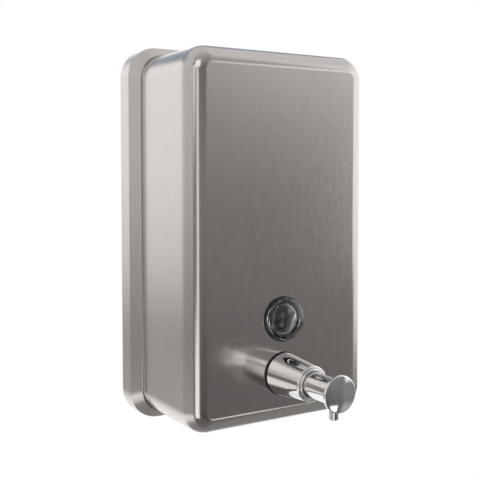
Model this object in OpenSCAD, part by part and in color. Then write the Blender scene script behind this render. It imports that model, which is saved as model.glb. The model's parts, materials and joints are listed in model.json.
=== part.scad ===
// Wall-mounted soap dispenser: a drawn steel tank welded to a stepped back pan, hung on a
// screwed wall plate, with a locked filler lid on top, a sight window and a push pump in front.
// Origin: on the wall, at the centre of the pan's back. +X right, +Z up, front towards -Y.

/* [Tank] */
// Width of the tank across its sides
tank_w = 110.4; // [90:0.1:150]
// Height of the tank
tank_h = 196; // [160:1:250]
// Distance from the wall to the tank's front face
tank_front = 72.2; // [64:0.1:100]
// Radius of the tank's corners, seen from the front
tank_corner = 13; // [11:0.5:20]
// Radius of the edge round the front face
front_fillet = 9.6; // [6:0.1:10]
// Thickness of the sheet steel
sheet = 0.9; // [0.6:0.1:1.4]
// Distance from the wall to the tank's rear rim
tank_rear = 12; // [11:0.5:15]

/* [Back pan] */
// Step from the tank's side out to the pan's side
pan_step = 5.1; // [4:0.1:8]
// Depth of the pan's straight side, from the wall
pan_side = 10.9; // [9:0.1:13]
// Depth of the pan at its lip, from the wall
pan_depth = 16.8; // [15:0.1:20]
// Depth of the lip's own straight side, in front of the bevel
pan_lip = 1.1; // [0.6:0.1:2]
// Radius of the pan's corners, seen from the front
pan_corner = 16.6; // [14:0.1:22]

/* [Wall plate] */
// Width of the wall plate
plate_w = 84; // [78:1:100]
// Thickness of the wall plate
plate_t = 1.5; // [1:0.1:2.5]
// Distance between the screw holes across the plate
screw_dx = 64; // [50:1:70]
// Distance between the screw holes up the plate
screw_dz = 120; // [80:1:130]
// Radius of each wall screw hole
screw_hole_r = 2.75; // [2:0.05:3.5]
// Radius of the locking screw's shank
lock_screw_r = 2; // [1.5:0.1:2.5]

/* [Filler] */
// Width of the filler opening
filler_w = 56; // [46:1:62]
// Depth of the filler opening, front to back
filler_d = 25; // [22:0.5:30]
// Width of the ledge that the lid's gasket seals on
ledge = 3; // [2:0.1:4]
// Thickness of the lid
lid_t = 1; // [0.8:0.1:1.5]
// Radius of the lid hinge's knuckles
knuckle_r = 1.9; // [1.6:0.1:2.4]
// Radius of the hinge pin
hinge_pin_r = 0.9; // [0.7:0.05:1.1]
// Length of the hinge
hinge_len = 44; // [34:1:50]
// Radius of the lid lock's housing
lock_r = 3.95; // [3.5:0.05:4.5]

/* [Window] */
// Height of the window's axis above the tank's bottom
window_rise = 55.9; // [54:0.1:80]
// Radius of the window's stem where it passes the tank wall
window_stem_r = 9; // [7:0.1:10.8]
// Width of the window's rim round its stem
window_rim_w = 2.4; // [2:0.1:3]
// Height of the dome in front of its rim
dome_h = 7.4; // [4:0.1:9]

/* [Pump] */
// Height of the pump's axis above the tank's bottom
pump_rise = 26.9; // [24:0.1:28]
// Radius of the plunger tube
plunger_r = 6.5; // [6:0.1:7.8]
// Bore radius of the plunger tube
plunger_bore = 3.5; // [3:0.1:4]
// Wall of the piston round the plunger tube
piston_wall = 1; // [1:0.1:1.5]
// Wall of the pump cylinder
cylinder_wall = 1.5; // [1.2:0.1:2]
// Wall of the chrome sleeve round the cylinder, at its base
sleeve_base_wall = 2.2; // [2:0.1:3]
// Distance from the plunger tube to the outside of the sleeve's mouth
sleeve_mouth_wall = 2.7; // [2.7:0.1:3.5]
// Distance from the tank's face to the sleeve's mouth
sleeve_out = 26; // [24:0.5:34]
// Distance from the tank's face to the front of the button
button_out = 48.8; // [44:0.1:56]
// Radius of the push button
button_r = 9.2; // [8:0.1:12]
// Stroke of the push button
stroke = 13; // [8:0.5:13]
// Outer radius of the spout
spout_r = 2.2; // [1.8:0.1:2.6]
// Depth of the spout's tip below the pump's axis
spout_drop = 13.4; // [11:0.1:20]
// Radius of the inlet ball
ball_r = 3; // [2.6:0.1:3.2]

/* [Hidden] */
$fn = 96;
weld_gap = 0.05;   // between pieces that are welded, pressed or screwed together
run_fit = 0.05;    // radial clearance of a shaft that turns or slides
piston_fit = 0.08; // radial clearance of the piston in its bore
free_gap = 0.5;    // between pieces that pass each other freely
eps = 0.01;        // lets a cut run past the face that it opens

face_y = -tank_front;
skin_y = face_y + sheet;
half_h = tank_h / 2;
pan_w = tank_w + 2 * pan_step;
pan_h = tank_h + 2 * pan_step;

plate_top = screw_dz / 2 + 7.5;
hook_rise = 8.5;
hook_out = 6;
hook_w = 16;
hook_x = 20;
tab_z = -pan_h / 2 + 3.7;
tab_w = 24;
lock_screw_y = -5.5;
lock_head_h = 2.4;
lock_head_r = 3.8;
nut_h = 3.5;
hanger_w = 70;
hanger_t = 1.2;

top_z = half_h;
hinge_room = 10.7; // from the pan's lip to the filler opening
filler_y = -pan_depth - hinge_room - filler_d / 2;
filler_corner = 4;
collar_t = 1;
lip_z = top_z - 4;
lid_gap = 0.3;
lid_over = 3;
lid_z = top_z + lid_gap;
lid_top = lid_z + lid_t;
lid_front = filler_y - filler_d / 2 - 2;
lid_rear = filler_y + filler_d / 2 + 1.9;
hinge_y = filler_y + filler_d / 2 + 5;
hinge_z = top_z + knuckle_r + 0.2;
leaf_t = 0.8;
lid_knuckle = 15.4;
lock_y = filler_y - 3;
lock_head = 0.65;
barrel_r = 2.8;
cam_t = 1.2;
cam_reach = filler_d / 2 - 1.5;
cam_z = lip_z - 1.65 - cam_t;

window_z = -half_h + window_rise;
window_rim_r = window_stem_r + window_rim_w;
window_gasket_t = 1;
window_rim_t = 1.5;
window_nut_t = 4.5;
window_face = face_y - weld_gap - window_gasket_t - weld_gap;
dome_r = window_rim_r - 0.5;
dome_sphere = (dome_r * dome_r + dome_h * dome_h) / (2 * dome_h);

pump_z = -half_h + pump_rise;
cylinder_bore = plunger_r + piston_wall;
cylinder_r = cylinder_bore + cylinder_wall;
sleeve_base_r = cylinder_r + sleeve_base_wall;
sleeve_mouth_r = plunger_r + sleeve_mouth_wall;
valve_gasket_t = 1;
sleeve_rear = face_y - weld_gap - valve_gasket_t - weld_gap;
sleeve_mouth = face_y - sleeve_out;
sleeve_lip = 1.6;
cylinder_front = sleeve_mouth + 3.2;
bush_rear = cylinder_front + 5.6;
piston_front = bush_rear + 0.4;
piston_len = 6;
piston_rear = piston_front + piston_len;
spring_block = 14; // length left for the spring at the end of the stroke
nut_reach = 16.2;  // from the tank's face back past the clamp nut to the cylinder's end
cylinder_rear = max(piston_rear + stroke + spring_block, face_y + nut_reach);
plunger_rear = piston_front + 3;
button_t = 2.35;
button_front = face_y - button_out;
button_rear = button_front + button_t;
spout_y = button_rear + 1.2 + spout_r;
seal_wire = 0.72;
head_r = cylinder_r + 1.2;
head_front = cylinder_rear - 6;
ball_seat_z = pump_z - cylinder_r + 0.1;
ball_seat_r = 2.2;
ball_chamber_r = ball_r + 0.4;
inlet_y = cylinder_rear + ball_chamber_r + 0.6;
chamber_rear = inlet_y + ball_chamber_r;
ball_rest_gap = 0.08;
ball_z = ball_seat_z + sqrt(ball_r * ball_r - ball_seat_r * ball_seat_r) + ball_rest_gap;
ball_lift = 1.5;
leg_r = ball_chamber_r + 1;
leg_bottom = ball_seat_z - 2;
spigot_r = 3.2;
intake_bottom = -half_h + sheet + 2.6;
spring_wire = 0.5;
spring_r = cylinder_bore - spring_wire - 1;
spring_turns = 8;

// ---- shared shapes ----

// A plate's outline with round corners, centred on the origin.
module outline(w, h, r) {
    square([w - 2 * r, h], center = true);
    square([w, h - 2 * r], center = true);
    for (x = [-1, 1], y = [-1, 1])
        translate([x * (w / 2 - r), y * (h / 2 - r)]) circle(r);
}

// Stands a flat outline up and gives it thickness, from y0 back to y1.
module slab(y0, y1) {
    translate([0, y1, 0]) rotate([90, 0, 0]) linear_extrude(y1 - y0) children();
}

// Lays a flat outline level over the filler, from z0 up to z1.
module level(z0, z1) {
    translate([0, filler_y, z0]) linear_extrude(z1 - z0) children();
}

// A cylinder along Y at (0, z), from y0 back to y1.
module rod_y(z, r, y0, y1) {
    translate([0, y0, z]) rotate([-90, 0, 0]) cylinder(r = r, h = y1 - y0);
}

// A tube along Y.
module tube_y(z, r, bore, y0, y1) {
    difference() {
        rod_y(z, r, y0, y1);
        rod_y(z, bore, y0 - eps, y1 + eps);
    }
}

// A cylinder along Z at (0, y), from z0 up to z1.
module rod_z(y, r, z0, z1) {
    translate([0, y, z0]) cylinder(r = r, h = z1 - z0);
}

// A cylinder along X at (y, z), from x0 to x1.
module rod_x(y, z, r, x0, x1) {
    translate([x0, y, z]) rotate([0, 90, 0]) cylinder(r = r, h = x1 - x0);
}

// A turned piece on the pump's axis: its half section is given as [radius, y] points.
module turned(points) {
    translate([0, 0, pump_z]) rotate([-90, 0, 0]) rotate_extrude() polygon(points);
}

// A hexagon nut along Y, measured across its flats.
module hex_y(z, flats, bore, y0, y1) {
    difference() {
        translate([0, y0, z]) rotate([-90, 0, 0])
            cylinder(r = flats / sqrt(3), h = y1 - y0, $fn = 6);
        rod_y(z, bore, y0 - eps, y1 + eps);
    }
}

// One front corner of the drawn tank: a round post whose front edge has the fillet.
module tank_post(r, fillet, y_front, y_rear) {
    bend = [for (a = [0:15:90]) [r - fillet + fillet * sin(a), y_front + fillet - fillet * cos(a)]];
    rotate([-90, 0, 0])
        rotate_extrude($fn = 32) polygon(concat([[0, y_front]], bend, [[r, y_rear], [0, y_rear]]));
}

// The drawn tank as a solid block.
module tank_block(w, h, r, fillet, y_front, y_rear) {
    hull() for (x = [-1, 1], z = [-1, 1])
        translate([x * (w / 2 - r), 0, z * (h / 2 - r)]) tank_post(r, fillet, y_front, y_rear);
}

// ---- housing ----

module tank_shell() {
    color("silver") difference() {
        tank_block(tank_w, tank_h, tank_corner, front_fillet, face_y, -tank_rear);
        tank_block(tank_w - 2 * sheet, tank_h - 2 * sheet, tank_corner - sheet,
                   front_fillet - sheet, skin_y, -tank_rear + 1);
        rod_y(window_z, window_stem_r + free_gap / 2, face_y - 1, skin_y + 1);
        rod_y(pump_z, cylinder_r + free_gap / 2, face_y - 1, skin_y + 1);
        level(top_z - 2 * sheet, top_z + 1) outline(filler_w, filler_d, filler_corner);
    }
}

module pan_bevel(inset, y_extra) {
    hull() {
        slab(-pan_side - eps, -pan_side + y_extra)
            outline(pan_w - 2 * inset, pan_h - 2 * inset, pan_corner - inset, $fn = 64);
        slab(-pan_depth + pan_lip - y_extra, -pan_depth + pan_lip + eps)
            outline(tank_w + 2 * (weld_gap + sheet - inset), tank_h + 2 * (weld_gap + sheet - inset),
                    tank_corner + weld_gap + sheet - inset, $fn = 64);
    }
}

module rear_pan() {
    color("silver") difference() {
        union() {
            difference() {
                slab(-pan_side, 0) outline(pan_w, pan_h, pan_corner);
                slab(-pan_side - 1, 1)
                    outline(pan_w - 2 * sheet, pan_h - 2 * sheet, pan_corner - sheet);
            }
            difference() {
                pan_bevel(0, 0);
                pan_bevel(sheet, 1);
            }
            difference() {
                slab(-pan_depth, -tank_rear - 0.5)
                    outline(tank_w + 2 * (weld_gap + sheet), tank_h + 2 * (weld_gap + sheet),
                            tank_corner + weld_gap + sheet);
                slab(-pan_depth - 1, 0)
                    outline(tank_w + 2 * weld_gap, tank_h + 2 * weld_gap, tank_corner + weld_gap);
            }
        }
        rod_z(lock_screw_y, lock_screw_r + free_gap / 2, -pan_h / 2 - 1, -pan_h / 2 + sheet + 1);
    }
}

module tank_back() {
    inset = sheet + weld_gap;
    color("gainsboro") slab(-tank_rear - sheet, -tank_rear)
        outline(tank_w - 2 * inset, tank_h - 2 * inset, tank_corner - inset);
}

module filler_collar() {
    color("gainsboro") difference() {
        union() {
            level(top_z - sheet - weld_gap - collar_t, top_z - sheet - weld_gap)
                outline(filler_w + 2 * ledge, filler_d + 2 * ledge, filler_corner + ledge - 1);
            level(lip_z, top_z - sheet - weld_gap)
                outline(filler_w - 2 * (ledge - sheet), filler_d - 2 * (ledge - sheet), filler_corner - 1);
        }
        level(lip_z - 1, top_z)
            outline(filler_w - 2 * ledge, filler_d - 2 * ledge, filler_corner - 1.5);
    }
}

module lock_keeper() {
    keeper_w = 12;
    front = filler_y - filler_d / 2 - ledge + 1;
    rear = filler_y - filler_d / 2 + ledge - sheet - 0.2;
    top = top_z - sheet - 2 * weld_gap - collar_t;
    color("dimgray") translate([-keeper_w / 2, 0, 0]) rotate([90, 0, 90])
        linear_extrude(keeper_w)
            polygon([[front, top], [front, lip_z - 0.4], [front + 0.7, lip_z - 1.1],
                     [rear, lip_z - 1.1], [rear, top]]);
}

// Z-section strip on the back of the tank, whose down-turned leg drops behind the plate's hooks.
module hanger_channel() {
    flat_y = -tank_rear + weld_gap;
    leg_y = -plate_t - hook_out + plate_t + 0.3;
    leg_z = plate_top + weld_gap;
    top = plate_top + 15;
    color("gainsboro") translate([-hanger_w / 2, 0, 0]) rotate([90, 0, 90])
        linear_extrude(hanger_w)
            polygon([[flat_y, plate_top - 8], [flat_y + hanger_t, plate_top - 8],
                     [flat_y + hanger_t, top - hanger_t], [leg_y, top - hanger_t],
                     [leg_y, leg_z], [leg_y + hanger_t, leg_z], [leg_y + hanger_t, top],
                     [flat_y, top]]);
}

module wall_plate() {
    plate_h = plate_top - tab_z;
    color("darkgray") difference() {
        union() {
            translate([0, 0, (plate_top + tab_z) / 2])
                slab(-plate_t, 0) outline(plate_w, plate_h, 6);
            for (x = [-hook_x, hook_x]) translate([x - hook_w / 2, 0, 0]) {
                translate([0, -plate_t - hook_out, plate_top - plate_t])
                    cube([hook_w, hook_out + plate_t, plate_t]);
                translate([0, -plate_t - hook_out, plate_top - plate_t])
                    cube([hook_w, plate_t, hook_rise + plate_t]);
            }
            translate([-tab_w / 2, lock_screw_y - 4.5, tab_z])
                cube([tab_w, -lock_screw_y + 4.5, plate_t]);
        }
        for (x = [-1, 1], z = [-1, 1]) translate([x * screw_dx / 2, 0, 0])
            rod_y(z * screw_dz / 2, screw_hole_r, -plate_t - 1, 1);
        rod_z(lock_screw_y, lock_screw_r + free_gap / 2, tab_z - 1, tab_z + plate_t + 1);
    }
}

module weld_nut() {
    color("darkgray") difference() {
        translate([0, lock_screw_y, tab_z + plate_t + weld_gap])
            cylinder(r = 7 / sqrt(3), h = nut_h, $fn = 6);
        rod_z(lock_screw_y, lock_screw_r + weld_gap, tab_z, tab_z + plate_t + nut_h + 1);
    }
}

module lock_screw() {
    head_top = -pan_h / 2 - weld_gap;
    color("silver") difference() {
        union() {
            rod_z(lock_screw_y, lock_head_r, head_top - lock_head_h, head_top);
            rod_z(lock_screw_y, lock_screw_r, head_top - eps, tab_z + plate_t + nut_h + 1.5);
        }
        translate([0, lock_screw_y, head_top - lock_head_h - 1]) cylinder(r = 1.45, h = 2.4, $fn = 6);
    }
}

// ---- filler hinge ----

module knuckle(x0, x1) {
    difference() {
        children();
        rod_x(hinge_y, hinge_z, hinge_pin_r + run_fit, x0 - 1, x1 + 1);
    }
}

module hinge_fixed_leaf() {
    inner = lid_knuckle / 2 + 0.3;
    plate_y = hinge_y + knuckle_r + 0.3;
    color("silver") knuckle(-hinge_len / 2, hinge_len / 2) union() {
        translate([-hinge_len / 2, plate_y, top_z + weld_gap])
            cube([hinge_len, -pan_depth - 0.4 - plate_y, leaf_t]);
        for (x = [-hinge_len / 2, inner]) {
            rod_x(hinge_y, hinge_z, knuckle_r, x, x + hinge_len / 2 - inner);
            translate([x, hinge_y, top_z + weld_gap])
                cube([hinge_len / 2 - inner, knuckle_r + 0.4, leaf_t]);
        }
    }
}

module hinge_pin() {
    color("gray") union() {
        rod_x(hinge_y, hinge_z, hinge_pin_r, -hinge_len / 2 - 0.8, hinge_len / 2 + 0.8);
        for (x = [-hinge_len / 2 - 0.8, hinge_len / 2 + 0.2])
            rod_x(hinge_y, hinge_z, hinge_pin_r + 0.5, x, x + 0.6);
    }
}

module hinge_lid_leaf() {
    leaf_z = lid_top + weld_gap;
    leaf_front = lid_rear - 8.5;
    color("silver") knuckle(-lid_knuckle / 2, lid_knuckle / 2) union() {
        translate([-hinge_len / 2 + 2, leaf_front, leaf_z])
            cube([hinge_len - 4, lid_rear - 0.3 - leaf_front, leaf_t]);
        translate([-lid_knuckle / 2, lid_rear - 1, leaf_z])
            cube([lid_knuckle, hinge_y - lid_rear + 1, leaf_t]);
        rod_x(hinge_y, hinge_z, knuckle_r, -lid_knuckle / 2, lid_knuckle / 2);
    }
}

// ---- lid and lock ----

module filler_lid() {
    depth = lid_rear - lid_front;
    color("silver") difference() {
        translate([0, (lid_front + lid_rear) / 2, lid_z])
            linear_extrude(lid_t) outline(filler_w + 2 * lid_over, depth, 5);
        rod_z(lock_y, lock_r + weld_gap, lid_z - 1, lid_top + 1);
    }
}

module lid_gasket() {
    color("black") difference() {
        level(top_z - sheet - weld_gap + 0.05, lid_z - weld_gap)
            outline(filler_w - 2 * free_gap, filler_d - 2 * free_gap, filler_corner - free_gap);
        level(top_z - 3, lid_z + 1)
            outline(filler_w - 2 * ledge + 0.2, filler_d - 2 * ledge + 0.2, filler_corner - 1.5);
    }
}

module lock_housing() {
    color("silver") difference() {
        union() {
            rod_z(lock_y, lock_r, lip_z - 0.6, lid_top + weld_gap + 0.1);
            rod_z(lock_y, lock_r + 0.85, lid_top + weld_gap, lid_top + weld_gap + lock_head);
        }
        rod_z(lock_y, barrel_r + run_fit, lip_z - 2, lid_top + 2);
    }
}

module lock_nut() {
    color("silver") difference() {
        translate([0, lock_y, lid_z - weld_gap - 2]) rotate([0, 0, 30])
            cylinder(r = 10 / sqrt(3), h = 2, $fn = 6);
        rod_z(lock_y, lock_r + weld_gap, lid_z - 4, lid_z + 1);
    }
}

module lock_barrel() {
    color("goldenrod") difference() {
        rod_z(lock_y, barrel_r, lip_z - 1.6, lid_top + weld_gap + lock_head);
        rod_z(lock_y, 1.05, lip_z - 2, lip_z + 1.5);
        translate([-0.4, lock_y - 1.8, lid_top - 1]) cube([0.8, 3.6, 4]);
    }
}

module lock_cam() {
    color("dimgray") translate([0, lock_y, cam_z]) difference() {
        union() {
            cylinder(r = 3.5, h = cam_t);
            translate([0, -3, 0]) cube([cam_reach, 6, cam_t]);
        }
        translate([0, 0, -1]) cylinder(r = 1.05, h = cam_t + 2);
    }
}

module cam_screw() {
    color("silver") union() {
        rod_z(lock_y, 2.4, cam_z - weld_gap - 1.3, cam_z - weld_gap);
        rod_z(lock_y, 1, cam_z - weld_gap - eps, lip_z + 1);
    }
}

// ---- window ----

module window_gasket() {
    color("black") tube_y(window_z, window_rim_r + 0.5, window_stem_r + 0.1,
                          face_y - weld_gap - window_gasket_t, face_y - weld_gap);
}

module window_lens() {
    cap_y = window_face - window_rim_t;
    color("whitesmoke", 0.4) difference() {
        union() {
            rod_y(window_z, window_stem_r, window_face - eps, skin_y + 9);
            rod_y(window_z, window_rim_r, cap_y, window_face);
            intersection() {
                translate([0, cap_y - dome_h + dome_sphere, window_z]) sphere(dome_sphere);
                rod_y(window_z, window_rim_r, cap_y - dome_h - 1, cap_y + eps);
            }
        }
        rod_y(window_z, window_stem_r - 2.5, window_face + 1.5, skin_y + 10);
    }
}

module window_washer() {
    color("black") tube_y(window_z, window_stem_r + 2.8, window_stem_r + 0.1,
                          skin_y + weld_gap, skin_y + weld_gap + 1);
}

module window_nut() {
    color("white") hex_y(window_z, 2 * window_stem_r + 5, window_stem_r + weld_gap,
                         skin_y + 2 * weld_gap + 1, skin_y + 2 * weld_gap + 1 + window_nut_t);
}

// ---- pump, fixed pieces ----

module valve_gasket() {
    color("black") tube_y(pump_z, sleeve_base_r + 0.3, cylinder_r + 0.1,
                          sleeve_rear + weld_gap, face_y - weld_gap);
}

module valve_sleeve() {
    bead = 1;
    bore = cylinder_r + weld_gap;
    lip_bore = plunger_r + 1.45;
    rim = [for (a = [90:-15:0])
        [sleeve_mouth_r - bead + bead * sin(a), sleeve_mouth + bead - bead * cos(a)]];
    color("lightgray") turned(concat(
        [[bore, sleeve_rear], [sleeve_base_r, sleeve_rear]], rim,
        [[lip_bore, sleeve_mouth], [lip_bore, sleeve_mouth + sleeve_lip],
         [bore, sleeve_mouth + sleeve_lip]]));
}

module guide_bush() {
    neck = plunger_r + 1.4;
    flange = cylinder_r - 0.3;
    bore = plunger_r + run_fit;
    color("lightgray") turned([
        [bore, sleeve_mouth - 1], [neck - 0.5, sleeve_mouth - 1], [neck, sleeve_mouth - 0.5],
        [neck, sleeve_mouth + sleeve_lip + weld_gap], [flange, sleeve_mouth + sleeve_lip + weld_gap],
        [flange, cylinder_front - weld_gap], [cylinder_bore - weld_gap, cylinder_front - weld_gap],
        [cylinder_bore - weld_gap, bush_rear], [bore, bush_rear]]);
}

module pump_cylinder() {
    color("white") tube_y(pump_z, cylinder_r, cylinder_bore, cylinder_front, cylinder_rear);
}

module valve_washer() {
    color("black") tube_y(pump_z, cylinder_r + 3, cylinder_r + 0.1,
                          skin_y + weld_gap, skin_y + weld_gap + 2);
}

module valve_nut() {
    color("white") hex_y(pump_z, 2 * cylinder_r + 6, cylinder_r + weld_gap,
                         skin_y + 2 * weld_gap + 2, skin_y + 2 * weld_gap + 7);
}

// Cap on the cylinder's rear end, with a leg that holds the inlet ball over its seat.
module inlet_head() {
    color("white") difference() {
        union() {
            rod_y(pump_z, head_r, head_front, chamber_rear + 2);
            rod_z(inlet_y, leg_r, leg_bottom, pump_z);
            rod_z(inlet_y, spigot_r, leg_bottom - 5, leg_bottom + eps);
        }
        rod_y(pump_z, cylinder_r + weld_gap, head_front - 1, cylinder_rear + weld_gap);
        rod_y(pump_z, cylinder_r - 3, cylinder_rear, chamber_rear);
        rod_z(inlet_y, ball_chamber_r, ball_seat_z, pump_z);
        rod_z(inlet_y, ball_seat_r, leg_bottom - 6, ball_seat_z + 1);
    }
}

module ball_stop() {
    pin_r = 0.6;
    pin_z = ball_z + ball_r + ball_lift + 0.3 + pin_r;
    chamber = cylinder_r - 3;
    half = sqrt(chamber * chamber - pow(pump_z - pin_z + pin_r, 2)) - weld_gap;
    color("silver") rod_x(inlet_y, pin_z, pin_r, -half, half);
}

module inlet_ball() {
    color("silver") translate([0, inlet_y, ball_z]) sphere(ball_r);
}

module intake_tube() {
    color("white") difference() {
        rod_z(inlet_y, leg_r, intake_bottom, leg_bottom - weld_gap);
        rod_z(inlet_y, spigot_r + weld_gap, intake_bottom - 1, leg_bottom + 1);
    }
}

module intake_strainer() {
    floor_top = intake_bottom - weld_gap;
    floor_z = floor_top - 1;
    color("gray") difference() {
        rod_z(inlet_y, leg_r + weld_gap + 0.8, floor_z, intake_bottom + 3);
        rod_z(inlet_y, leg_r + weld_gap, floor_top, intake_bottom + 4);
        rod_z(inlet_y, 0.7, floor_z - 1, floor_top + 1);
        for (a = [0:60:300]) translate([0, inlet_y, floor_z - 1]) rotate([0, 0, a])
            translate([2.2, 0, 0]) cylinder(r = 0.7, h = 3);
    }
}

// Helical spring between the piston and the cylinder's rear cap.
module return_spring() {
    sides = 8;
    per_turn = 16;
    rings = spring_turns * per_turn;
    start = piston_rear + spring_wire + 0.1;
    finish = cylinder_rear - spring_wire - 0.1;
    points = [for (i = [0:rings], k = [0:sides - 1])
        let (turn = 360 * i / per_turn, wire = 360 * k / sides,
             radius = spring_r + spring_wire * cos(wire))
        [radius * cos(turn), start + (finish - start) * i / rings + spring_wire * sin(wire),
         pump_z + radius * sin(turn)]];
    walls = [for (i = [0:rings - 1], k = [0:sides - 1])
        let (next = (k + 1) % sides)
        [i * sides + k, (i + 1) * sides + k, (i + 1) * sides + next, i * sides + next]];
    first_cap = [[for (k = [0:sides - 1]) k]];
    last_cap = [[for (k = [sides - 1:-1:0]) rings * sides + k]];
    color("gray") polyhedron(points, concat(walls, first_cap, last_cap));
}

// ---- plunger ----

module plunger_tube() {
    color("lightgray") difference() {
        tube_y(pump_z, plunger_r, plunger_bore, button_rear + weld_gap, plunger_rear);
        rod_z(spout_y, spout_r + weld_gap, pump_z - plunger_r - 1, pump_z);
    }
}

module push_button() {
    edge = 0.7;
    crown = 0.5;
    color("lightgray") turned([
        [0, button_front], [button_r * 0.45, button_front + crown * 0.2],
        [button_r * 0.8, button_front + crown * 0.64], [button_r - edge, button_front + crown],
        [button_r - edge * 0.3, button_front + crown + edge * 0.3],
        [button_r, button_front + crown + edge], [button_r, button_rear - 0.4],
        [button_r - 0.4, button_rear], [plunger_bore - weld_gap, button_rear],
        [plunger_bore - weld_gap, button_rear + 1], [0, button_rear + 1]]);
}

module spout() {
    bore = spout_r - 0.7;
    tip = pump_z - spout_drop;
    color("lightgray") translate([0, spout_y, 0]) rotate_extrude() polygon([
        [bore, tip], [spout_r - 0.3, tip], [spout_r, tip + 0.3],
        [spout_r, pump_z - plunger_bore - 0.3], [bore, pump_z - plunger_bore - 0.3]]);
}

module outlet_valve() {
    valve_y = sleeve_mouth - 2;
    body = plunger_bore - weld_gap;
    color("dimgray") turned([
        [0.25, valve_y - 4], [0.9, valve_y - 4], [body - 0.6, valve_y], [body, valve_y],
        [body, valve_y + 3], [body - 0.9, valve_y + 3], [body - 1.2, valve_y],
        [0.25, valve_y - 3.2]]);
}

module piston() {
    r = cylinder_bore - piston_fit;
    groove_r = cylinder_bore - 2 * seal_wire - 0.11;
    groove_y = plunger_rear + 1.5;
    groove_w = 2 * seal_wire + 0.16;
    seat_bore = plunger_r + weld_gap;
    color("white") turned([
        [seat_bore, piston_front], [r, piston_front], [r, groove_y - groove_w / 2],
        [groove_r, groove_y - groove_w / 2], [groove_r, groove_y + groove_w / 2],
        [r, groove_y + groove_w / 2], [r, piston_rear], [plunger_bore, piston_rear],
        [plunger_bore, plunger_rear + weld_gap], [seat_bore, plunger_rear + weld_gap]]);
}

module piston_seal() {
    ring_r = cylinder_bore - run_fit - seal_wire;
    color("black") translate([0, plunger_rear + 1.5, pump_z]) rotate([-90, 0, 0])
        rotate_extrude() translate([ring_r, 0]) circle(seal_wire);
}

tank_shell();
rear_pan();
tank_back();
filler_collar();
lock_keeper();
hanger_channel();
wall_plate();
weld_nut();
lock_screw();
hinge_fixed_leaf();
hinge_pin();
window_gasket();
window_lens();
window_washer();
window_nut();
valve_gasket();
valve_sleeve();
guide_bush();
pump_cylinder();
valve_washer();
valve_nut();
inlet_head();
ball_stop();
inlet_ball();
intake_tube();
intake_strainer();
return_spring();
filler_lid();
hinge_lid_leaf();
lid_gasket();
lock_housing();
lock_nut();
lock_barrel();
lock_cam();
cam_screw();
plunger_tube();
push_button();
spout();
outlet_valve();
piston();
piston_seal();
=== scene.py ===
"""The looks of a wall-mounted soap dispenser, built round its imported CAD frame.

Every length is in metres, in the frame's own axes: +X right, +Y into the wall, +Z up, with the
origin on the wall behind the middle of the dispenser. Each sub-assembly is a class that reads its
place from the frame's nodes, models its pieces and gives each its finish and its body.
"""

import json
import logging
import math
from collections.abc import Callable, Iterator, Sequence
from contextlib import contextmanager
from dataclasses import dataclass, replace
from enum import Enum
from functools import cache

import bpy
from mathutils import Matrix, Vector

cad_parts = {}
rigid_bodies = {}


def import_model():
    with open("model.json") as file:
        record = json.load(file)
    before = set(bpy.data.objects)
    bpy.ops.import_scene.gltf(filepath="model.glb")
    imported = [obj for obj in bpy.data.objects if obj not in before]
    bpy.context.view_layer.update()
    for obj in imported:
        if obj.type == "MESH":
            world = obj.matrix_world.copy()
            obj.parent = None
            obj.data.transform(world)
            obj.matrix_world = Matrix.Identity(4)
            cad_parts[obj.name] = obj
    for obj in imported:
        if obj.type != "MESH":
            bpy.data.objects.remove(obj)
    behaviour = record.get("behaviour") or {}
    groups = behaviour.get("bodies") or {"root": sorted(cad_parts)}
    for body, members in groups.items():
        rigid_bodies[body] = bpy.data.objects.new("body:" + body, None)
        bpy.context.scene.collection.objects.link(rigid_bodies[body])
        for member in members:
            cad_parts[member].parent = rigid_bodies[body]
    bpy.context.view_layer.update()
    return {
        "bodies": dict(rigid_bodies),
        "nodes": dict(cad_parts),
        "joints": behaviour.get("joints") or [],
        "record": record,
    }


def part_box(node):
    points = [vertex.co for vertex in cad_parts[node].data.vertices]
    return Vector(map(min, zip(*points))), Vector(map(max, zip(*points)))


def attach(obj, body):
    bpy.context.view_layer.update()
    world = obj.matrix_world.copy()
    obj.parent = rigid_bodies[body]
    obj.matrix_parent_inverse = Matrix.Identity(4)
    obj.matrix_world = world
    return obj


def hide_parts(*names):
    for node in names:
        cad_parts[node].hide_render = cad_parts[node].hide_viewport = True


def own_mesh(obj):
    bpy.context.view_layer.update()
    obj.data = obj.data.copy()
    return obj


MM = 0.001
HAIR = 0.012 * MM  # the least step between two outlines that are bridged
AXIS_GAP = 0.3 * MM  # the radius at which a flat end is closed with a cap
log = logging.getLogger("dispenser")

Point = tuple[float, float]
Colour = tuple[float, float, float]
Sockets = dict[str, bpy.types.NodeSocket]


class Body(Enum):
    """The frame's rigid bodies that pieces ride on."""

    HOUSING = "housing"
    LID = "lid"
    LOCK = "lock"
    PLUNGER = "plunger"
    INLET_BALL = "inlet_ball"


class Facing(Enum):
    """The way an outline faces, as the turn that a flat primitive needs to face it."""

    UP = (0.0, 0.0, 0.0)
    FRONT = (math.pi / 2, 0.0, 0.0)


class Ends(Enum):
    """What a loft does at its two ends."""

    OPEN = "open"
    CAPPED = "capped"
    JOINED = "joined"


# ---- bench: what the pieces are modelled with ----


def activate(obj: bpy.types.Object) -> None:
    """Makes one object the only selected one, and the active one.

    Args:
        obj: The object to work on.
    """
    if bpy.context.mode != "OBJECT":
        bpy.ops.object.mode_set(mode="OBJECT")
    bpy.ops.object.select_all(action="DESELECT")
    obj.select_set(True)
    bpy.context.view_layer.objects.active = obj


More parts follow.
